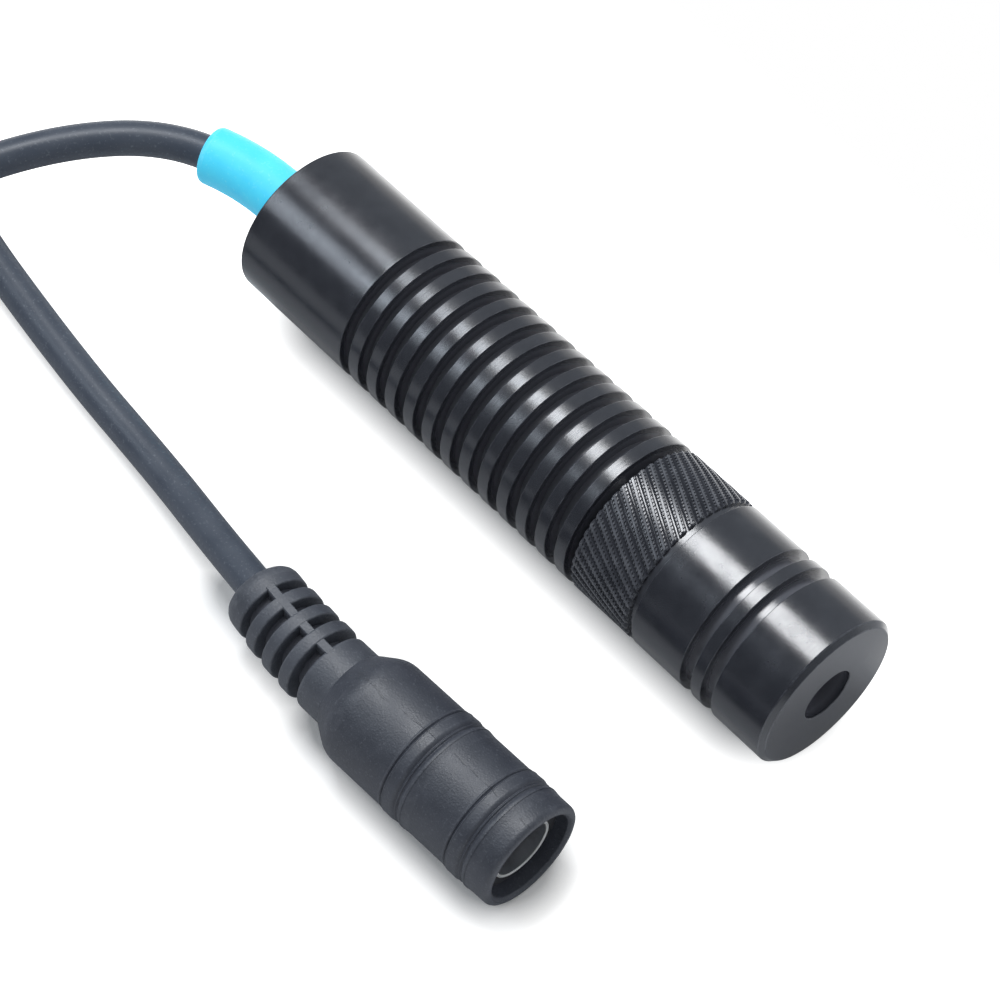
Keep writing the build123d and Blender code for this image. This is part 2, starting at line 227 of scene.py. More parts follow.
def makeEdgeWear(sizes):
    inputs = {"Colour": (0.01, 0.01, 0.012, 1), "Worn": (0.2, 0.2, 0.21, 1), "Amount": 0.5}
    group, given, out = newGroup("edge wear", inputs, "Colour")
    patches = noise(group, objectPlace(group), *sizes["patches"])
    rubbed = mapRange(group, patches, *sizes["patchSpan"])
    mask = mathNode(group, "MULTIPLY", wornAttribute(group), rubbed)
    mask = mathNode(group, "MULTIPLY", mask, given["Amount"])
    group.links.new(mixColour(group, mask, given["Colour"], given["Worn"]), out["Colour"])
    return group


# Painted light in the grooves, the seam and the aperture: everything well below the outer radius is painted
# lighter, standing in for light that does not reach there
paintedLiftSizes = {"behindFace": (-0.1 * mm, -0.8 * mm)}


def makeRecess(sizes):
    group, given, out = newGroup("paintedLiftRegion", {"Outer": 7.6 * mm, "Inner": 7.1 * mm}, "Mask")
    x, y, z = splitPlace(group, objectPlace(group))
    flat = addNode(group, "ShaderNodeCombineXYZ", _0=0.0, _1=y, _2=z).outputs[0]
    sunk = mapRange(group, vectorNode(group, "LENGTH", flat)["Value"], given["Outer"], given["Inner"])
    behind = mapRange(group, x, *sizes["behindFace"])
    group.links.new(mathNode(group, "MULTIPLY", sunk, behind), out["Mask"])
    return group


# Parting line on top of the socket: thin, a little wavering and broken here and there
lineSizes = {
    "waver": (230.0, 3.0, 0.5),
    "sway": 1.6 * mm,
    "width": (0.12 * mm, 0.05 * mm),
    "breaks": (700.0, 2.0, 0.5),
    "breakSpan": (0.4, 0.55),
    "rise": (0, 3 * mm),
}


def makePartingLine(sizes):
    inputs = {"Centre": (0, 0, 0), "Slope": 0.0, "From": -23.5 * mm, "To": -20.5 * mm}
    group, given, out = newGroup("parting line", inputs, "Mask")
    place = objectPlace(group)
    x, y, z = splitPlace(group, vectorNode(group, "SUBTRACT", place, given["Centre"])[0])
    waver = mathNode(group, "SUBTRACT", noise(group, place, *sizes["waver"]), 0.5)
    sideways = mathNode(group, "SUBTRACT", y, mathNode(group, "MULTIPLY", x, given["Slope"]))
    sideways = mathNode(group, "MULTIPLY_ADD", waver, sizes["sway"], sideways)
    mask = mapRange(group, mathNode(group, "ABSOLUTE", sideways), *sizes["width"])
    for limit in (
        mapRange(group, x, given["From"], given["To"]),
        mapRange(group, z, *sizes["rise"]),
        mapRange(group, noise(group, place, *sizes["breaks"]), *sizes["breakSpan"]),
    ):
        mask = mathNode(group, "MULTIPLY", mask, limit)
    group.links.new(mask, out["Mask"])
    return group


turnedGrain = makeTurnedGrain(turnedSizes)
fineGrain = makeFineGrain(fineSizes)
edgeWear = makeEdgeWear(wearSizes)
paintedLiftRegion = makeRecess(paintedLiftSizes)
partingLine = makePartingLine(lineSizes)
print("shader groups built")


def finishMaterial(tree, settings, colour, roughness, height=None, bump=0.0, depth=0.02 * mm):
    shader = addNode(tree, "ShaderNodeBsdfPrincipled")
    for label, value in {**settings, "Base Color": colour, "Roughness": roughness}.items():
        setInput(tree, shader, label, value)
    if height is not None:
        relief = addNode(tree, "ShaderNodeBump", Strength=bump, Distance=depth, Height=height)
        tree.links.new(relief.outputs[0], shader.inputs["Normal"])
    output = tree.nodes.new("ShaderNodeOutputMaterial")
    tree.links.new(shader.outputs[0], output.inputs[0])


# A look's two colours and two roughnesses are spread over this part of its group's cloud
cloudSpan = (0.3, 0.7)


def clouded(tree, grain, colours, roughness, colourSpan=cloudSpan, roughSpan=cloudSpan):
    base = mixColour(tree, mapRange(tree, grain["Cloud"], *colourSpan), *colours)
    return base, mapRange(tree, grain["Cloud"], *roughSpan, *roughness)


# Black anodised aluminium, turned. The knurl's copy is painted lighter, standing in for the light its deep
# valleys lose.
anodisedCommon = {
    # colour of the painted light in the grooves, the seam and the aperture
    "paintedLift": (0.1, 0.104, 0.125),
    "rings": 4200.0,
    "patchSpan": (0.35, 0.65),
    "ior": 1.8,
}
anodisedLooks = {
    "anodised": {
        "colours": ((0.0195, 0.0212, 0.0285), (0.0265, 0.0288, 0.0375)),
        "worn": (0.15, 0.158, 0.18),
        "wear": 0.35,
        "roughness": (0.2, 0.27),
        "bump": 0.2,
    },
    # painted light: a lighter copy of the anodised colours, for the knurl
    "knurled": {
        "colours": ((0.046, 0.049, 0.06), (0.062, 0.066, 0.08)),
        "worn": (0.17, 0.178, 0.2),
        "wear": 0.75,
        "roughness": (0.24, 0.32),
        "bump": 0.08,
    },
}


def makeAnodised(name, look):
    look = {**anodisedCommon, **look}
    material, tree = newMaterial(name)
    grain = useGroup(tree, turnedGrain, Rings=look["rings"])
    base, rough = clouded(tree, grain, look["colours"], look["roughness"], look["patchSpan"])
    # painted light: the anodised colour turns lighter in the grooves, the seam and the aperture
    base = mixColour(tree, useGroup(tree, paintedLiftRegion)["Mask"], base, look["paintedLift"])
    base = useGroup(tree, edgeWear, Colour=base, Worn=look["worn"], Amount=look["wear"])["Colour"]
    finishMaterial(tree, {"IOR": look["ior"]}, base, rough, grain["Height"], look["bump"])
    return material


# Soft plastics: the black socket, its relief, the lead's jacket, the turquoise sleeve, the plugs
plasticCommon = {
    "flecks": 0.3,
    "wear": 0.3,
    "grain": 5200.0,
    "waves": 420.0,
    "ior": 1.5,
    "specular": 0.5,
    "depth": 0.02 * mm,
}
plasticLooks = {
    "socket": {
        "colours": ((0.028, 0.033, 0.047), (0.041, 0.047, 0.065)),
        "fleck": (0.12, 0.13, 0.155),
        "flecks": 0.45,
        "worn": (0.085, 0.092, 0.112),
        "wear": 0.35,
        "roughness": (0.44, 0.54),
        "specular": 1.0,
        "bump": 0.75,
        "depth": 0.03 * mm,
        "line": (-0.005896, -0.028849, -0.00236),
        "slope": 0.036,
        # painted shade in the parting line's crease
        "dark": (0.012, 0.013, 0.018),
        "darkness": 0.35,
        "sink": -0.7,
    },
    "relief": {
        "colours": ((0.045, 0.052, 0.068), (0.062, 0.07, 0.09)),
        "fleck": (0.13, 0.14, 0.165),
        "flecks": 0.5,
        "worn": (0.12, 0.13, 0.15),
        "wear": 0.5,
        "grain": 4200.0,
        "roughness": (0.46, 0.56),
        "specular": 1.0,
        "bump": 1.0,
        "depth": 0.03 * mm,
    },
    # painted light: the relief's core, seen down the narrow slots, is painted lighter than the relief,
    # standing in for light that does not reach there
    "recessed": {
        "colours": ((0.075, 0.08, 0.1), (0.09, 0.097, 0.12)),
        "fleck": (0.12, 0.13, 0.15),
        "worn": (0.1, 0.1, 0.12),
        "wear": 0.2,
        "roughness": (0.5, 0.6),
        "bump": 0.3,
    },
    "jacket": {
        "colours": ((0.052, 0.064, 0.088), (0.068, 0.082, 0.108)),
        "fleck": (0.19, 0.215, 0.25),
        "flecks": 0.35,
        "worn": (0.05, 0.05, 0.05),
        "wear": 0.0,
        "grain": 3800.0,
        "waves": 260.0,
        "roughness": (0.36, 0.46),
        "specular": 0.6,
        "bump": 0.22,
    },
    "turquoise": {
        "colours": ((0.07, 0.77, 1.0), (0.1, 0.85, 1.0)),
        # painted light: the sleeve glows a faint blue though it is no lamp
        "glow": (0.0, 0.03, 0.14),
        "fleck": (0.3, 0.95, 1.0),
        "flecks": 0.2,
        "worn": (0.4, 0.95, 1.0),
        "grain": 3000.0,
        "waves": 300.0,
        "roughness": (0.36, 0.5),
        "bump": 0.12,
    },
    "plug": {
        "colours": ((0.03, 0.031, 0.036), (0.042, 0.043, 0.05)),
        "fleck": (0.1, 0.1, 0.11),
        "worn": (0.07, 0.07, 0.07),
        "grain": 4500.0,
        "waves": 500.0,
        "roughness": (0.45, 0.6),
        "bump": 0.25,
    },
}


def makePlastic(name, look):
    look = {**plasticCommon, **look}
    material, tree = newMaterial(name)
    grain = useGroup(tree, fineGrain, Grain=look["grain"], Waves=look["waves"])
    base, rough = clouded(tree, grain, look["colours"], look["roughness"])
    height = grain["Height"]
    if "line" in look:
        line = useGroup(tree, partingLine, Centre=look["line"], Slope=look["slope"])["Mask"]
        # painted shade: the parting line's crease is painted darker
        base = mixColour(tree, mathNode(tree, "MULTIPLY", line, look["darkness"]), base, look["dark"])
        height = mathNode(tree, "MULTIPLY_ADD", line, look["sink"], height)
    flecks = mathNode(tree, "MULTIPLY", grain["Flecks"], look["flecks"])
    base = mixColour(tree, flecks, base, look["fleck"])
    base = useGroup(tree, edgeWear, Colour=base, Worn=look["worn"], Amount=look["wear"])["Colour"]
    settings = {"IOR": look["ior"], "Specular IOR Level": look["specular"]}
    # painted light: a look with a glow emits it, a painted glow
    if "glow" in look:
        settings.update({"Emission Color": look["glow"], "Emission Strength": 1.0})
    finishMaterial(tree, settings, base, rough, height, look["bump"], look["depth"])
    return material


# Bare, plated and turned metals: two colours and two roughnesses, with edges painted bright, a painted glint
# on their roundings
metalCommon = {"rings": 5500.0, "edge": (0.95, 0.94, 0.9), "bump": 0.1}
metalLooks = {
    "nickel": (((0.62, 0.6, 0.56), (0.74, 0.72, 0.68)), (0.2, 0.34)),
    "dulled": (((0.44, 0.45, 0.48), (0.54, 0.55, 0.58)), (0.44, 0.56)),
    "steel": (((0.46, 0.46, 0.47), (0.58, 0.58, 0.59)), (0.24, 0.38)),
    "gold": (((0.78, 0.57, 0.22), (0.88, 0.68, 0.32)), (0.2, 0.32)),
    "brass": (((0.62, 0.45, 0.18), (0.72, 0.55, 0.26)), (0.24, 0.38)),
    "copper": (((0.66, 0.34, 0.2), (0.76, 0.44, 0.28)), (0.26, 0.4)),
    "tin": (((0.5, 0.5, 0.49), (0.62, 0.62, 0.6)), (0.34, 0.5)),
}


def makeMetal(name, look):
    material, tree = newMaterial(name)
    grain = useGroup(tree, turnedGrain, Rings=metalCommon["rings"])
    base, rough = clouded(tree, grain, *look)
    # painted glint: the rounded edges are painted near white
    base = mixColour(tree, wornAttribute(tree), base, metalCommon["edge"])
    finishMaterial(tree, {"Metallic": 1.0}, base, rough, grain["Height"], metalCommon["bump"])
    return material


# Insulation, solder mask and small parts inside the barrel
insideCommon = {"grain": 3600.0, "waves": 700.0, "roughness": (0.35, 0.55), "ior": 1.5, "bump": 0.2}
insideColours = {
    "board": ((0.02, 0.16, 0.07), (0.03, 0.22, 0.1)),
    "chip": ((0.018, 0.018, 0.02), (0.035, 0.035, 0.038)),
    "ceramic": ((0.45, 0.33, 0.2), (0.56, 0.43, 0.28)),
    "resistor": ((0.03, 0.03, 0.035), (0.08, 0.08, 0.085)),
    "trimmer": ((0.04, 0.12, 0.36), (0.07, 0.18, 0.46)),
    "red wire": ((0.5, 0.025, 0.02), (0.6, 0.05, 0.04)),
    "black wire": ((0.016, 0.016, 0.018), (0.028, 0.028, 0.03)),
}


def makeInside(name, colours):
    look = insideCommon
    material, tree = newMaterial(name)
    grain = useGroup(tree, fineGrain, Grain=look["grain"], Waves=look["waves"])
    base, rough = clouded(tree, grain, colours, look["roughness"])
    finishMaterial(tree, {"IOR": look["ior"]}, base, rough, grain["Height"], look["bump"])
    return material


# Lens and window: nearly clear, with a faint coating
glassLook = {
    "grain": 900.0,
    "waves": 180.0,
    "colours": ((0.84, 0.93, 0.96), (0.9, 0.9, 0.97)),
    "smearSpan": (0.4, 0.7),
    "roughness": (0.01, 0.05),
    "ior": 1.62,
}


def makeGlass(name, look):
    material, tree = newMaterial(name)
    grain = useGroup(tree, fineGrain, Grain=look["grain"], Waves=look["waves"])
    tint, rough = clouded(tree, grain, look["colours"], look["roughness"], roughSpan=look["smearSpan"])
    finishMaterial(tree, {"Transmission Weight": 1.0, "IOR": look["ior"]}, tint, rough)
    return material


looks = {"glass": makeGlass("coated glass", glassLook)}
for make, given, ending in (
    (makeAnodised, anodisedLooks, " aluminium"),
    (makePlastic, plasticLooks, " plastic"),
    (makeMetal, metalLooks, ""),
    (makeInside, insideColours, ""),
):
    for key, look in given.items():
        looks[key] = make(key + ending, look)
print("materials built:", len(looks))


# Turned and moulded pieces: an outline of (place along, radius, edge rounding) carried round an axis.
# The axis may be straight or bend, as the socket's strain relief and the sleeve do.
edgeSizes = {
    "share": 0.96,  # of the free run beside it, the most that a rounding takes up
    "beyond": 0.3,  # a row of points holds a rounding's end, this share of its reach away
    "pull": 0.4,  # or of the run that is left, times this
}


def softened(outline, closed, steps):
    count = len(outline)
    points = []
    for i, (along, radius, rounding) in enumerate(outline):
        if rounding <= 0 or not (closed or 0 < i < count - 1):
            points.append((along, radius, 0.0))
            continue
        here = Vector((along, radius))
        others = (outline[i - 1], outline[(i + 1) % count])
        runs = [Vector(other[:2]) - here for other in others]
        reach = rounding
        for run, other in zip(runs, others):
            reach = min(reach, edgeSizes["share"] * (run.length - min(other[2], run.length / 2)))
        start, end = (here + run.normalized() * reach for run in runs)
        holds = []
        for run, spot in zip(runs, (start, end)):
            past = edgeSizes["pull"] * min(edgeSizes["beyond"] * reach, run.length - reach)
            holds.append((*(spot + run.normalized() * past), 0.0))
        points.append(holds[0])
        for j in range(steps + 1):
            t = j / steps
            spot = start * (1 - t) ** 2 + here * 2 * t * (1 - t) + end * t ** 2
            points.append((*spot, 1.0))
        points.append(holds[1])
    return points


def stretchedOut(points, closed, longest):
    result = []
    last = len(points) if closed else len(points) - 1
    for i in range(len(points)):
        result.append(points[i])
        if i >= last:
            continue
        other = points[(i + 1) % len(points)]
        parts = int(abs(other[0] - points[i][0]) / longest)
        for j in range(1, parts + 1):
            t = j / (parts + 1)
            result.append(tuple(a + (b - a) * t for a, b in zip(points[i], other)))
    return result


def meshPiece(name, corners, faces, worn, material, sharpest=38):
    mesh = bpy.data.meshes.new(name)
    mesh.from_pydata([tuple(corner) for corner in corners], [], faces)
    edit = bmesh.new()
    edit.from_mesh(mesh)
    bmesh.ops.recalc_face_normals(edit, faces=edit.faces)
    edit.to_mesh(mesh)
    edit.free()
    rubbed = mesh.attributes.new("worn", "FLOAT", "POINT")
    rubbed.data.foreach_set("value", worn)
    mesh.shade_smooth()
    mesh.set_sharp_from_angle(angle=math.radians(sharpest))
    mesh.materials.append(material)
    return placed(name, mesh)


def turnedPiece(name, outline, material, place, closed=True, around=160, longest=math.inf, steps=3):
    points = stretchedOut(softened(outline, closed, steps), closed, longest)
    corners, worn, rings = [], [], []
    for along, radius, edge in points:
        origin, across, upward = place(along)
        count = around if radius > 0 else 1
        rings.append([len(corners) + i for i in range(count)])
        for i in range(count):
            angle = 2 * math.pi * i / around
            spot = origin + (across * math.cos(angle) + upward * math.sin(angle)) * radius
            corners.append(spot * mm)
            worn.append(edge)
    faces = []
    pairs = list(zip(rings, rings[1:] + rings[:1]))
    for first, second in pairs if closed else pairs[:-1]:
        for i in range(around):
            j = (i + 1) % around
            if len(first) == 1 and len(second) == 1:
                continue
            if len(first) == 1:
                faces.append((first[0], second[i], second[j]))
            elif len(second) == 1:
                faces.append((first[i], first[j], second[0]))
            else:
                faces.append((first[i], first[j], second[j], second[i]))
    return meshPiece(name, corners, faces, worn, material)


# Outline of a plain tube, with the roundings of its four edges from the first inner one round
def tubeOutline(start, end, bore, radius, edges=(0, 0, 0, 0)):
    return list(zip((start, start, end, end), (bore, radius, radius, bore), edges))


# Faces of a solid bar made of rows of the same section, with a face at each end
def barFaces(rows, around):
    faces = []
    for i in range(rows - 1):
        for j in range(around):
            k = (j + 1) % around
            faces.append((around * i + j, around * i + k, around * (i + 1) + k, around * (i + 1) + j))
    faces.append(tuple(range(around)))
    faces.append(tuple(around * (rows - 1) + j for j in range(around)))
    return faces


def alongBeam(along):
    return Vector((along, 0, 0)), Vector((0, 1, 0)), Vector((0, 0, 1))


def grooveOutline(rear, width, radius, root, edge):
    front = rear + width
    return [(rear, radius, edge), (rear, root, 0), (front, root, 0), (front, radius, edge)]


# Barrel: smooth rear land, twelve cooling grooves and a last land before the seam
barrelSizes = {
    "radius": 8.0,
    "bore": 5.4,
    "boreEdge": 0.15,
    "rear": -70.0,
    "front": -25.15,
    "rearLand": 14.25,
    "grooves": 12,
    "pitch": 2.55,
    "gap": 1.25,
    "depth": 1.6,
    "edge": 0.07,
    "rearEdge": 0.12,
    "around": 176,
}


def makeBarrel(sizes):
    radius = sizes["radius"]
    root = radius - sizes["depth"]
    rear = sizes["rear"]
    outline = [(rear, sizes["bore"], sizes["boreEdge"]), (rear, radius, sizes["rearEdge"])]
    for i in range(sizes["grooves"]):
        start = rear + sizes["rearLand"] + i * sizes["pitch"]
        outline += grooveOutline(start, sizes["gap"], radius, root, sizes["edge"])
    outline.append((sizes["front"], radius, sizes["edge"]))
    outline.append((sizes["front"], sizes["bore"], 0))
    return turnedPiece("barrel_body", outline, looks["anodised"], alongBeam, around=sizes["around"])


barrelBody = makeBarrel(barrelSizes)
print("barrel turned")


# Focus head: spigot, knurl bed, relief, cap with two grooves, front face and aperture
headSizes = {
    "radius": 8.0,
    "spigot": 5.32,
    "spigotEdge": 0.1,
    "spigotRear": -33.3,
    "rear": -24.3,
    "knurl": 7.22,
    "bed": 7.52,
    "bedEdge": 0.05,
    "relief": 0.75,
    "reliefRoot": 7.5,
    "rearLand": 6.13,
    "grooves": 2,
    "groove": 1.35,
    "grooveRoot": 6.9,
    "middleLand": 1.2,
    "edge": 0.06,
    "bevel": 0.5,
    "bevelEdge": 0.08,
    "aperture": 2.7,
    "apertureEdge": 0.1,
    "apertureDepth": 10.0,
    "cellBore": 4.5,
    "around": 176,
}


def makeHead(sizes):
    radius = sizes["radius"]
    knurlFront = sizes["rear"] + sizes["knurl"]
    capRear = knurlFront + sizes["relief"]
    outline = [
        (sizes["spigotRear"], sizes["cellBore"], 0),
        (sizes["spigotRear"], sizes["spigot"], sizes["spigotEdge"]),
        (sizes["rear"], sizes["spigot"], 0),
        (sizes["rear"], sizes["bed"], sizes["bedEdge"]),
        (knurlFront, sizes["bed"], sizes["bedEdge"]),
        (knurlFront, sizes["reliefRoot"], 0),
        (capRear, sizes["reliefRoot"], 0),
        (capRear, radius, sizes["edge"]),
    ]
    for i in range(sizes["grooves"]):
        start = capRear + sizes["rearLand"] + i * (sizes["groove"] + sizes["middleLand"])
        outline += grooveOutline(start, sizes["groove"], radius, sizes["grooveRoot"], sizes["edge"])
    outline += [
        (-sizes["bevel"], radius, sizes["bevelEdge"]),
        (0, radius - sizes["bevel"], sizes["bevelEdge"]),
        (0, sizes["aperture"], sizes["apertureEdge"]),
        (-sizes["apertureDepth"], sizes["aperture"], 0),
        (-sizes["apertureDepth"], sizes["cellBore"], 0),
    ]
    return turnedPiece("focus_head_body", outline, looks["anodised"], alongBeam, around=sizes["around"])


headBody = makeHead(headSizes)
print("focus head turned")


# Knurl: one helical ridge, repeated round the head. A smooth crest runs between two rows of teeth.
# A section is given from the middle of the crest to the foot, in degrees, radii and rubbed edges; the
# rubbing is real wear and also paints the crest and the tooth tops lighter, a painted highlight.
knurlSizes = {
    "ridges": 45,
    "turnPerMm": 4.0,
    "pitch": 0.311,
    "toothShare": 0.6,
    "toothRamp": 0.03,
    "plainEnds": 0.3,
    "endShare": 0.6,
    "angles": (0.75, 0.95, 1.1, 2.4, 2.7, 3.9),
    "radii": {
        "tooth": (8.0, 7.935, 7.95, 7.935, 7.7, 7.45),
        "notch": (8.0, 7.935, 7.8, 7.8, 7.7, 7.45),
        "end": (7.8, 7.78, 7.75, 7.72, 7.7, 7.45),
    },
    # rubbed crest and tooth tops: real wear and a painted highlight
    "wearAndHighlight": {
        "tooth": (0.7, 0.5, 1, 0.6, 0, 0),
        "notch": (0.6, 0.3, 0.2, 0, 0, 0),
        "end": (0, 0, 0, 0, 0, 0),
    },
    "sharpest": 20,
}


def ridgeStations(sizes, length):
    pitch = sizes["pitch"]
    ramp = sizes["toothRamp"]
    teeth = int(length / pitch - sizes["plainEnds"])
    spare = (length - teeth * pitch) / 2
    stations = [(0, "end"), (spare * sizes["endShare"], "notch")]
    for i in range(teeth):
        rear = spare + i * pitch
        front = rear + pitch * sizes["toothShare"]
        stations += [(rear, "notch"), (rear + ramp, "tooth"), (front - ramp, "tooth"), (front, "notch")]
    return stations + [(length - spare * sizes["endShare"], "notch"), (length, "end")]


def makeRidge(sizes, start, length):
    stations = ridgeStations(sizes, length)
    corners, worn = [], []
    for along, kind in stations:
        half = list(zip(sizes["angles"], sizes["radii"][kind], sizes["wearAndHighlight"][kind]))
        for angle, radius, rub in [(-a, r, w) for a, r, w in reversed(half)] + half:
            spin = math.radians(sizes["turnPerMm"] * along + angle)
            corners.append(Vector((start + along, radius * math.cos(spin), radius * math.sin(spin))) * mm)
            worn.append(rub)
    faces = barFaces(len(stations), 2 * len(sizes["angles"]))
    return meshPiece("knurl ridge", corners, faces, worn, looks["knurled"], sizes["sharpest"])


# Repeats a piece by turning it about an axis through a centre, with each copy a little smaller if asked
def makeTurnedRow():
    tree = bpy.data.node_groups.new("turned row", "GeometryNodeTree")
    face = tree.interface
    face.new_socket("Geometry", in_out="INPUT", socket_type="NodeSocketGeometry")
    for label, kind, value in (
        ("Count", "NodeSocketInt", 3),
        ("Angle", "NodeSocketFloat", 0.1),
        ("Axis", "NodeSocketVector", (1, 0, 0)),
        ("Start", "NodeSocketVector", (0, 0, 0)),
        ("Centre", "NodeSocketVector", (0, 0, 0)),
        ("Taper", "NodeSocketFloat", 0.0),
    ):
        face.new_socket(label, in_out="INPUT", socket_type=kind).default_value = value
    face.new_socket("Material", in_out="INPUT", socket_type="NodeSocketMaterial")
    face.new_socket("Geometry", in_out="OUTPUT", socket_type="NodeSocketGeometry")
    given = tree.nodes.new("NodeGroupInput").outputs
    end = tree.nodes.new("NodeGroupOutput")
    index = tree.nodes.new("GeometryNodeInputIndex").outputs[0]
    turn = mathNode(tree, "MULTIPLY", index, given["Angle"])
    spots = addNode(tree, "GeometryNodePoints", Count=given["Count"], Position=given["Start"])
    swung = addNode(tree, "ShaderNodeVectorRotate", {"rotation_type": "AXIS_ANGLE"},
                    Vector=given["Start"], Center=given["Centre"], Axis=given["Axis"], Angle=turn)
    moved = addNode(tree, "GeometryNodeSetPosition", Geometry=spots.outputs[0], Position=swung.outputs[0])
    facing = addNode(tree, "FunctionNodeAxisAngleToRotation", Axis=given["Axis"], Angle=turn)
    size = mathNode(tree, "MULTIPLY_ADD", index, mathNode(tree, "MULTIPLY", given["Taper"], -1.0), 1.0)
    even = addNode(tree, "ShaderNodeCombineXYZ", _0=1.0, _1=size, _2=size)
    copies = addNode(tree, "GeometryNodeInstanceOnPoints", Points=moved.outputs[0],
                     Instance=given["Geometry"], Rotation=facing.outputs[0], Scale=even.outputs[0])
    whole = addNode(tree, "GeometryNodeRealizeInstances", Geometry=copies.outputs[0])
    coated = addNode(tree, "GeometryNodeSetMaterial", Geometry=whole.outputs[0],
                     Material=given["Material"])
    tree.links.new(coated.outputs[0], end.inputs[0])
    return tree


turnedRow = makeTurnedRow()


def repeated(piece, name, material, **values):
    values["Material"] = material
    modifier = piece.modifiers.new("row", "NODES")
    modifier.node_group = turnedRow
    for item in turnedRow.interface.items_tree:
        if item.in_out == "INPUT" and item.name in values:
            modifier[item.identifier] = values[item.name]
    depsgraph = bpy.context.evaluated_depsgraph_get()
    mesh = bpy.data.meshes.new_from_object(piece.evaluated_get(depsgraph), depsgraph=depsgraph)
    mesh.name = name
    piece.modifiers.clear()
    bpy.data.objects.remove(piece)
    return placed(name, mesh)


ridge = makeRidge(knurlSizes, headSizes["rear"], headSizes["knurl"])
knurl = repeated(ridge, "knurl_ridges", looks["knurled"], Count=knurlSizes["ridges"],
                 Angle=2 * math.pi / knurlSizes["ridges"], Axis=(1, 0, 0))
print("knurl cut:", len(knurl.data.polygons), "faces")


# Lead: one cord from inside the barrel to inside the socket
leadSizes = {"diameter": 3.5 * mm, "length": 0.2395, "steps": 16, "roundness": 10}
leadRoute = [
    (-0.066, 0.0, 0.0),
    (-0.0776, 0.0, 0.0),
    (-0.0867, -0.0032, 0.0),
    (-0.0935, -0.0113, -0.0003),
    (-0.0983, -0.0223, -0.0013),
    (-0.097, -0.0387, -0.0049),
    (-0.1039, -0.0512, -0.00625),
    (-0.1173, -0.0564, -0.00625),
    (-0.1309, -0.0517, -0.00625),
    (-0.1383, -0.0394, -0.00625),
    (-0.1361, -0.0252, -0.00625),
    (-0.1252, -0.0158, -0.00625),
    (-0.1109, -0.0155, -0.00625),
    (-0.0994, -0.0212, -0.00625),
    (-0.076, -0.0247, -0.00625),
    (-0.06, -0.026, -0.0061),
    (-0.0505, -0.0277, -0.0041),
    (-0.0414, -0.0291, -0.0023),
    (-0.0354, -0.02966, -0.00236),
    (-0.0304, -0.02973, -0.00236),
]


def makeLead(sizes, route):
    curve = bpy.data.curves.new("lead", "CURVE")
    curve.dimensions = "3D"
    curve.resolution_u = sizes["steps"]
    curve.bevel_depth = sizes["diameter"] / 2
    curve.bevel_resolution = sizes["roundness"]
    curve.use_fill_caps = True
    line = curve.splines.new("NURBS")
    line.points.add(len(route) - 1)
    for point, place in zip(line.points, route):
        point.co = (*place, 1)
    line.order_u = 3
    line.use_endpoint_u = True
    curve.materials.append(looks["jacket"])
    return placed("lead", curve)


lead = makeLead(leadSizes, leadRoute)
print("lead laid")

bentStep = 0.6  # longest run between two rows of points on a piece that bends


# Sleeve where the lead leaves the barrel, bent with the lead's first turn
sleeveSizes = {
    "radius": 2.9,
    "bore": 1.8,
    "edges": (0, 0, 0.65, 0.25),
    "front": -67.3,
    "past": 5.0,
    "bend": 25.43,
    "around": 96,
    "steps": 6,
}


def sleevePath(sizes):
    start, corner, onward = (Vector(point) / mm for point in leadRoute[:3])
    first = (corner - start).normalized()
    second = (onward - corner).normalized()
    half = first.angle(second) / 2
    bend = sizes["bend"]
    cut = bend * math.tan(half)
    front = Vector((sizes["front"], 0, 0))
    straight = (corner - front).length - cut
    arc = bend * 2 * half
    side = (second - first * second.dot(first)).normalized()
    upward = first.cross(side)

    def place(along):
        if along < straight:
            return front + first * along, side, upward
        turn = min((along - straight) / bend, 2 * half)
        centre = front + first * straight + side * bend
        across = side * math.cos(turn) - first * math.sin(turn)
        forward = first * math.cos(turn) + side * math.sin(turn)
        return centre - across * bend + forward * max(along - straight - arc, 0), across, upward

    return place, straight + arc + sizes["past"] - cut


def makeSleeve(sizes):
    place, length = sleevePath(sizes)
    outline = tubeOutline(0, length, sizes["bore"], sizes["radius"], sizes["edges"])
    return turnedPiece("lead_sleeve", outline, looks["turquoise"], place, around=sizes["around"],
                       longest=bentStep, steps=sizes["steps"])


sleeve = makeSleeve(sleeveSizes)
print("sleeve fitted")


# Rear plug round the sleeve
rearPlugSizes = {"radius": 5.4, "bore": 2.9, "rear": -69.7, "front": -67.3, "edges": (0.15, 0.2, 0, 0)}


def makeRearPlug(sizes):
    outline = tubeOutline(sizes["rear"], sizes["front"], sizes["bore"], sizes["radius"], sizes["edges"])
    return turnedPiece("rear_closing_plug", outline, looks["plug"], alongBeam, around=96)


rearPlug = makeRearPlug(rearPlugSizes)


# The socket's axis is straight as far as the shoulder's end, and the lead bends the rest sideways
socketAxis = {"place": (-5.896, -28.849, -2.36), "yaw": 2.06, "straight": 23.2, "bend": 75.0}
shoulderEnd = -socketAxis["straight"]


def alongSocket(along):
    yaw = math.radians(socketAxis["yaw"])
    bend = socketAxis["bend"]
    axis = Vector((math.cos(yaw), math.sin(yaw), 0))
    side = Vector((-math.sin(yaw), math.cos(yaw), 0))
    behind = shoulderEnd - along
    turn = max(behind, 0) / bend
    x = along if behind <= 0 else shoulderEnd - bend * math.sin(turn)
    y = bend * (1 - math.cos(turn))
    across = side * math.cos(turn) + axis * math.sin(turn)
    return Vector(socketAxis["place"]) + axis * x + side * y, across, Vector((0, 0, 1))


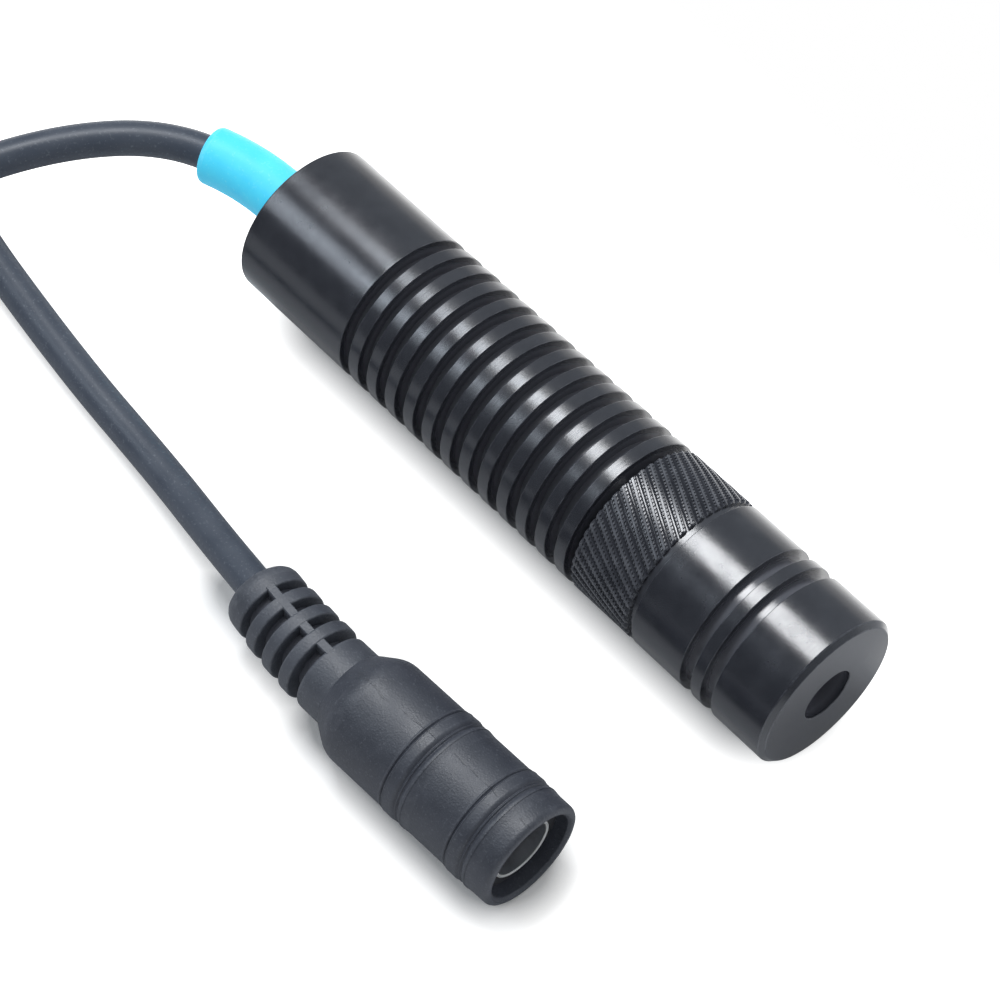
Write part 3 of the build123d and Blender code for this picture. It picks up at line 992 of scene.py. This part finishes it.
# Socket: rounded shoulder, two raised bands with a groove and a bead at each end, rim and cavity
socketSizes = {
    "radius": 5.5,
    "front": 0.45,
    "rim": 0.75,
    "mouth": 0.25,
    "mouthEdge": 0.08,
    "cavity": 4.55,
    "cavityEnd": 13.18,
    "leadHole": 1.9,
    "holeStep": 0.4,
    "body": 20.75,
    "shoulder": 0.85,
    "neck": 4.0,
    "neckEdge": 0.3,
    "bands": (3.6, 11.54),
    "bandReach": 1.1,
    "bandHeight": 0.14,
    "bandEdge": 0.2,
    "bandRamp": 0.3,
    "bandFoot": 0.5,
    "bandSag": 0.04,
    "groove": 0.32,
    "grooveDepth": 0.14,
    "grooveEdge": 0.08,
    "groovePitch": 1.6,
    "bead": 0.07,
    "beadEdge": 0.1,
}


def makeSocketBody(sizes):
    radius = sizes["radius"]
    proud = radius + sizes["bandHeight"]
    floor = radius - sizes["grooveDepth"]
    groove = sizes["groove"]
    beadEdge, grooveEdge = sizes["beadEdge"], sizes["grooveEdge"]
    outline = [
        (shoulderEnd + sizes["holeStep"], sizes["leadHole"], 0),
        (shoulderEnd, sizes["leadHole"], 0),
        (shoulderEnd, sizes["neck"], sizes["neckEdge"]),
        (-sizes["body"], radius, sizes["shoulder"]),
    ]
    for front in sorted(sizes["bands"], reverse=True):
        rear = front + sizes["groovePitch"] + groove
        outline += [
            (-rear - groove, radius, beadEdge),
            (-rear - groove / 2, radius + sizes["bead"], beadEdge),
            (-rear, floor, grooveEdge),
            (-rear + groove / 2, proud, beadEdge),
            (-rear + groove, proud - sizes["bandSag"], beadEdge),
            (-front - 2 * groove, proud, sizes["bandEdge"]),
            (-front - groove, floor, grooveEdge),
            (-front - groove / 2, radius + sizes["bead"], grooveEdge),
            (-front, floor, grooveEdge),
            (-front + groove, proud, sizes["bandRamp"]),
            (-front + sizes["bandReach"], radius, sizes["bandFoot"]),
        ]
    outline += [
        (-sizes["front"], radius, sizes["rim"]),
        (-sizes["front"], sizes["cavity"] + sizes["mouth"], sizes["mouthEdge"]),
        (-sizes["front"] - sizes["mouth"], sizes["cavity"], sizes["mouthEdge"]),
        (-sizes["cavityEnd"], sizes["cavity"], 0),
        (-sizes["cavityEnd"], sizes["leadHole"], 0),
    ]
    return turnedPiece("socket_body", outline, looks["socket"], alongSocket, around=160, steps=4)


# Strain relief: neck, three rings, end flange, core and two spines, all on the bent axis
reliefSizes = {
    "neck": 3.95,
    "neckIn": 0.5,
    "neckOut": 2.7,
    "neckBore": 1.9,
    "neckEdges": (0, 0, 0.3, 0),
    "slot": 1.07,
    "rings": 3,
    "ring": 1.3,
    "ringRadius": 4.02,
    "ringBore": 2.3,
    "ringEdges": (0, 0.2, 0.2, 0),
    "taper": 0.02,
    "flange": 2.56,
    "flangeRadius": 3.7,
    "flangeEdges": (0, 0.2, 1.35, 0.1),
    "core": 2.6,
    "coreIn": 1.0,
    "bore": 1.8,
    "spine": 0.87,
    "spineIn": 0.3,
    "spineFoot": 2.2,
    "spineReach": (3.97, 3.82),
    "spineBevel": 0.08,
    "spineSteps": 16,
}


def slottedLength(sizes):
    return (sizes["rings"] + 1) * sizes["slot"] + sizes["rings"] * sizes["ring"]


def reliefTube(name, look, outline, steps, around=128):
    return turnedPiece(name, outline, looks[look], alongSocket, around=around, longest=bentStep, steps=steps)


def makeNeck(sizes):
    start = shoulderEnd + sizes["neckIn"]
    end = shoulderEnd - sizes["neckOut"]
    outline = tubeOutline(start, end, sizes["neckBore"], sizes["neck"], sizes["neckEdges"])
    return reliefTube("relief neck", "relief", outline, steps=4)


def ringPlace(along):
    origin, across, upward = alongSocket(shoulderEnd)
    axis = upward.cross(across) * -1
    return axis * along, across, upward


def makeReliefRings(sizes):
    half = sizes["ring"] / 2
    outline = tubeOutline(-half, half, sizes["ringBore"], sizes["ringRadius"], sizes["ringEdges"])
    first = turnedPiece("relief ring", outline, looks["relief"], ringPlace, around=128, steps=5)
    origin, across, upward = alongSocket(shoulderEnd)
    bend = socketAxis["bend"]
    centre = origin + across * bend
    ahead = (sizes["neckOut"] + sizes["slot"] + half) / bend
    start = Matrix.Rotation(-ahead, 3, "Z") @ (origin - centre) + centre
    first.data.transform(Matrix.Rotation(-ahead, 4, "Z"))
    return repeated(first, "relief_rings", looks["relief"], Count=sizes["rings"],
                    Angle=-(sizes["ring"] + sizes["slot"]) / bend, Axis=(0, 0, 1), Start=start * mm,
                    Centre=centre * mm, Taper=sizes["taper"])


def makeFlange(sizes):
    start = shoulderEnd - sizes["neckOut"] - slottedLength(sizes)
    end = start - sizes["flange"]
    outline = tubeOutline(start, end, sizes["bore"], sizes["flangeRadius"], sizes["flangeEdges"])
    return reliefTube("relief flange", "relief", outline, steps=6)


def makeReliefCore(sizes):
    start = shoulderEnd - sizes["coreIn"]
    end = start - sizes["neckOut"] - slottedLength(sizes)
    outline = tubeOutline(start, end, sizes["bore"], sizes["core"])
    # the core takes the colour painted lighter for its slots
    return reliefTube("relief core", "recessed", outline, steps=3, around=96)


def makeSpine(sizes, sign):
    start = shoulderEnd - sizes["neckOut"] + sizes["spineIn"]
    length = slottedLength(sizes) + 2 * sizes["spineIn"]
    half = sizes["spine"] / 2
    foot, bevel, steps = sizes["spineFoot"], sizes["spineBevel"], sizes["spineSteps"]
    near, far = sizes["spineReach"]
    corners = []
    for i in range(steps + 1):
        reach = near + (far - near) * i / steps
        profile = [(-half, foot), (-half, reach - bevel), (-half + bevel, reach)]
        profile += [(half - bevel, reach), (half, reach - bevel), (half, foot)]
        origin, across, upward = alongSocket(start - length * i / steps)
        for sideways, height in profile:
            corners.append((origin + across * sideways + upward * height * sign) * mm)
    faces = barFaces(steps + 1, len(profile))
    return meshPiece("relief spine", corners, faces, [0.0] * len(corners), looks["relief"])


def joined(name, pieces):
    whole = bmesh.new()
    mesh = bpy.data.meshes.new(name)
    for piece in pieces:
        material = piece.data.materials[0]
        if material.name not in mesh.materials:
            mesh.materials.append(material)
        before = len(whole.faces)
        whole.from_mesh(piece.data)
        whole.faces.ensure_lookup_table()
        for face in whole.faces[before:]:
            face.material_index = mesh.materials.find(material.name)
    whole.to_mesh(mesh)
    whole.free()
    for piece in pieces:
        bpy.data.objects.remove(piece)
    return placed(name, mesh)


socketBody = makeSocketBody(socketSizes)
relief = joined("strain_relief", [
    makeNeck(reliefSizes),
    makeReliefRings(reliefSizes),
    makeFlange(reliefSizes),
    makeReliefCore(reliefSizes),
    makeSpine(reliefSizes, 1),
    makeSpine(reliefSizes, -1),
])
print("socket moulded")


# Contacts in the socket's mouth
contactSizes = {
    "insulatorFront": 2.1,
    "insulatorEdge": 0.1,
    "tube": 3.17,
    "tubeBore": 2.87,
    "tubeFront": 1.6,
    "tubeEnd": 10.98,
    "tubeEdges": (0, 0, 0.12, 0.12),
    "pin": 1.05,
    "pinFront": 3.0,
    "pinEdge": 0.35,
}


def makeContacts(sizes, end, cavity):
    seat = sizes["tubeEnd"]
    bed = turnedPiece("socket_insulator", [
        (-end, sizes["pin"], 0),
        (-end, cavity, 0),
        (-sizes["insulatorFront"], cavity, 0),
        (-sizes["insulatorFront"], sizes["tube"], sizes["insulatorEdge"]),
        (-seat, sizes["tube"], 0),
        (-seat, sizes["pin"], 0),
    ], looks["plug"], alongSocket, around=96)
    outline = tubeOutline(-seat, -sizes["tubeFront"], sizes["tubeBore"], sizes["tube"], sizes["tubeEdges"])
    tube = turnedPiece("contact_tube", outline, looks["dulled"], alongSocket, around=128)
    pin = turnedPiece("contact_pin", [
        (-end, 0, 0),
        (-end, sizes["pin"], 0),
        (-sizes["pinFront"], sizes["pin"], sizes["pinEdge"]),
        (-sizes["pinFront"], 0, 0),
    ], looks["nickel"], alongSocket, closed=False, around=64)
    return bed, tube, pin


contacts = makeContacts(contactSizes, socketSizes["cavityEnd"], socketSizes["cavity"])
insulator, contactTube, contactPin = contacts
print("contacts made")


# Pieces inside the barrel and the socket keep their solids and get their own finishes
insideLooks = {
    "lens_cell": "brass",
    "collimating_lens": "glass",
    "lens_retaining_ring": "brass",
    "thrust_washer": "steel",
    "focus_spring": "steel",
    "diode_holder": "copper",
    "diode_header": "gold",
    "diode_leads": "gold",
    "diode_cap": "nickel",
    "diode_window": "glass",
    "diode_jumpers": "red wire",
    "driver_board": "board",
    "driver_chip": "chip",
    "storage_capacitor": "ceramic",
    "board_resistors": "resistor",
    "current_trimmer": "trimmer",
    "supply_wire_red": "red wire",
    "supply_wire_black": "black wire",
    "jack_solder_tags": "tin",
    "jack_wires": "red wire",
}
for node, look in insideLooks.items():
    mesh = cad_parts[node].data
    mesh.materials.clear()
    mesh.materials.append(looks[look])
print("inner pieces finished:", len(insideLooks))


# What each piece rides on and stands for
rides = [
    (barrelBody, "barrel", "anodised_black", ["barrel"]),
    (headBody, "head", "anodised_black", ["focus_head"]),
    (knurl, "head", "anodised_black", []),
    (lead, "barrel", "cable_black", ["cable"]),
    (sleeve, "barrel", "sleeve_turquoise", ["cable_sleeve"]),
    (rearPlug, "barrel", "plug_black", ["rear_plug"]),
    (socketBody, "barrel", "jack_black", ["jack_shell"]),
    (relief, "barrel", "jack_black", []),
    (insulator, "barrel", "insulator_black", ["jack_insulator"]),
    (contactTube, "barrel", "contact_nickel", ["jack_contact_sleeve"]),
    (contactPin, "barrel", "contact_nickel", ["jack_centre_pin"]),
]
for piece, body, slot, nodes in rides:
    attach(piece, body)
    if nodes:
        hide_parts(*nodes)
print("pieces seated")


# Pale floor. What a camera sees of it turns plain white a little way off the object. What is mirrored in the
# barrel is painted: painted shade on the socket's side and ahead of the module, and a painted glow behind
# it.
floorSizes = {
    "width": 3.0,
    "colours": ((0.935, 0.93, 0.915), (0.955, 0.95, 0.935)),
    "mottle": (60.0, 3.0, 0.5),
    "roughness": 0.8,
    "specular": 0.1,
    # painted shade seen in reflections on the socket's side
    "paintedShadeSideColour": (0.42, 0.43, 0.45),
    "frontSpan": (-4 * mm, -12 * mm),
    # painted shade seen in reflections ahead of the module
    "paintedShadeAheadColour": (0.64, 0.655, 0.68),
    "aheadSpan": (-1 * mm, 1 * mm),
    "backSpan": (8 * mm, 12 * mm),
    "backEnd": (4 * mm, -1 * mm),
    # painted glow seen in reflections behind the module
    "paintedGlowStrength": (1.95, 0.7),
    "backFade": (18 * mm, 60 * mm),
    "whiteSpan": (-3.2 * mm, 4.4 * mm),
    "footprints": [
        ((-0.062, 0, 0), (-0.0075, 0, 0), 8.0 * mm),
        ((-0.029, -0.0288, 0), (-0.0105, -0.0289, 0), 7.7 * mm),
        ((-0.046, -0.0285, 0), (-0.029, -0.0288, 0), 5.4 * mm),
        ((-0.094, -0.0225, 0), (-0.046, -0.0285, 0), 2.4 * mm),
    ],
}


# Distance on the floor from a line between two points
def distanceFrom(tree, place, first, second):
    run = Vector(second) - Vector(first)
    away = vectorNode(tree, "SUBTRACT", place, first)[0]
    share = vectorNode(tree, "DOT_PRODUCT", away, run)["Value"]
    share = mapRange(tree, share, 0.0, run.length_squared)
    foot = addNode(tree, "ShaderNodeVectorMath", {"operation": "SCALE"}, _0=run, Scale=share).outputs[0]
    return vectorNode(tree, "DISTANCE", away, foot)["Value"]


def makeFloorMaterial(sizes):
    material, tree = newMaterial("white board")
    place = objectPlace(tree)
    forward, sideways = splitPlace(tree, place)[:2]
    rays = addNode(tree, "ShaderNodeLightPath").outputs
    seen, mirrored = rays["Is Camera Ray"], rays["Is Glossy Ray"]
    shade = mixColour(tree, noise(tree, place, *sizes["mottle"]), *sizes["colours"])
    # painted shade: the floor is darker in reflections on the socket's side
    paintedShadeSide = mathNode(tree, "MULTIPLY", mirrored, mapRange(tree, sideways, *sizes["frontSpan"]))
    shade = mixColour(tree, paintedShadeSide, shade, sizes["paintedShadeSideColour"])
    # painted shade: the floor is darker in reflections ahead of the module
    ahead = mathNode(tree, "MULTIPLY", mirrored, mapRange(tree, forward, *sizes["aheadSpan"]))
    shade = mixColour(tree, ahead, shade, sizes["paintedShadeAheadColour"])
    finishMaterial(tree, {"Specular IOR Level": sizes["specular"]}, shade, sizes["roughness"])
    flat = vectorNode(tree, "MULTIPLY", place, (1, 1, 0))[0]
    nearest = 1.0
    for first, second, reach in sizes["footprints"]:
        gap = mathNode(tree, "SUBTRACT", distanceFrom(tree, flat, first, second), reach)
        nearest = mathNode(tree, "MINIMUM", gap, nearest)
    away = mathNode(tree, "MULTIPLY", seen, mapRange(tree, nearest, *sizes["whiteSpan"]))
    # painted glow: behind the module the floor glows in reflections
    behind = mathNode(tree, "MULTIPLY", mirrored, mapRange(tree, sideways, *sizes["backSpan"]))
    behind = mathNode(tree, "MULTIPLY", behind, mapRange(tree, forward, *sizes["backEnd"]))
    paintedGlow = mapRange(tree, sideways, *sizes["backFade"], *sizes["paintedGlowStrength"])
    glow = mathNode(tree, "MAXIMUM", seen, paintedGlow)
    white = addNode(tree, "ShaderNodeEmission", Color=(1, 1, 1), Strength=glow).outputs[0]
    lit = tree.nodes["Principled BSDF"].outputs[0]
    both = mixShader(tree, mathNode(tree, "MAXIMUM", away, behind), lit, white)
    tree.links.new(both, tree.nodes["Material Output"].inputs[0])
    return material


def makeFloor(sizes):
    half = sizes["width"] / 2
    corners = [(x * half, y * half, floorHeight) for x, y in ((-1, -1), (1, -1), (1, 1), (-1, 1))]
    mesh = bpy.data.meshes.new("floor")
    mesh.from_pydata(corners, [], [(0, 1, 2, 3)])
    mesh.materials.append(makeFloorMaterial(sizes))
    floor = placed("floor", mesh)


# Soft lamps, each a place, a width and a height, a glow and a tint
lampSizes = {
    "aim": (-0.035, -0.005, 0.0),
    "lamps": {
        "front_softbox": ((-0.205, 0.0775, 0.6), (0.1, 0.305), 13.4, (0.97, 0.98, 1)),
        "middle_softbox": ((-0.28, 0.068, 0.6), (0.05, 0.215), 11.5, (0.95, 0.97, 1)),
        "rear_softbox": ((-0.335, 0.065, 0.6), (0.06, 0.17), 7.2, (0.8, 0.89, 1)),
        "side_front_softbox": ((-0.35, -0.325, 0.52), (0.06, 0.09), 6.0, (0.8, 0.89, 1)),
        "side_rear_softbox": ((-0.45, -0.34, 0.52), (0.14, 0.3), 4.2, (0.8, 0.89, 1)),
    },
}


def makeLamps(sizes):
    for name, (place, size, glow, tint) in sizes["lamps"].items():
        towards = (Vector(place) - Vector(sizes["aim"])).normalized()
        light = bpy.data.lights.new(name, "AREA")
        light.shape = "RECTANGLE"
        light.size, light.size_y = size
        light.energy = glow * math.pi * light.size * light.size_y
        light.color = tint
        holder = placed(name, light)
        along = (Vector((1, 0, 0)) - towards * towards.x).normalized()
        turn = Matrix((along, towards.cross(along), towards)).transposed().to_4x4()
        holder.matrix_world = Matrix.Translation(place) @ turn


# Plain surround, lighter behind the module than on the socket's side, and darker where it is mirrored
surroundSizes = {
    "colour": (0.95, 0.975, 1),
    "strength": (0.4, 0.86),
    "span": (-0.7, 0.7),
    "mirroredColour": (0.85, 0.93, 1),
    "mirrored": (0.1, 0.38),
    "mirroredSpan": (-0.5, 0.6),
}


def makeSurround(sizes):
    world = bpy.data.worlds.new("surround")
    bpy.context.scene.world = world
    tree = newTree(world)
    direction = addNode(tree, "ShaderNodeTexCoord").outputs["Generated"]
    behind = splitPlace(tree, direction)[1]
    rays = addNode(tree, "ShaderNodeLightPath").outputs
    lit, mirrored, white = (
        addNode(tree, "ShaderNodeBackground", Color=colour, Strength=strength).outputs[0]
        for colour, strength in (
            (sizes["colour"], mapRange(tree, behind, *sizes["span"], *sizes["strength"])),
            (sizes["mirroredColour"], mapRange(tree, behind, *sizes["mirroredSpan"], *sizes["mirrored"])),
            ((1, 1, 1), 1.0),
        )
    )
    sharp = mathNode(tree, "MAXIMUM", rays["Is Glossy Ray"], rays["Is Transmission Ray"])
    whole = mixShader(tree, rays["Is Camera Ray"], mixShader(tree, sharp, lit, mirrored), white)
    output = tree.nodes.new("ShaderNodeOutputWorld")
    tree.links.new(whole, output.inputs[0])


makeFloor(floorSizes)
makeLamps(lampSizes)
makeSurround(surroundSizes)
bpy.context.scene.view_settings.view_transform = "Standard"
print("studio set")
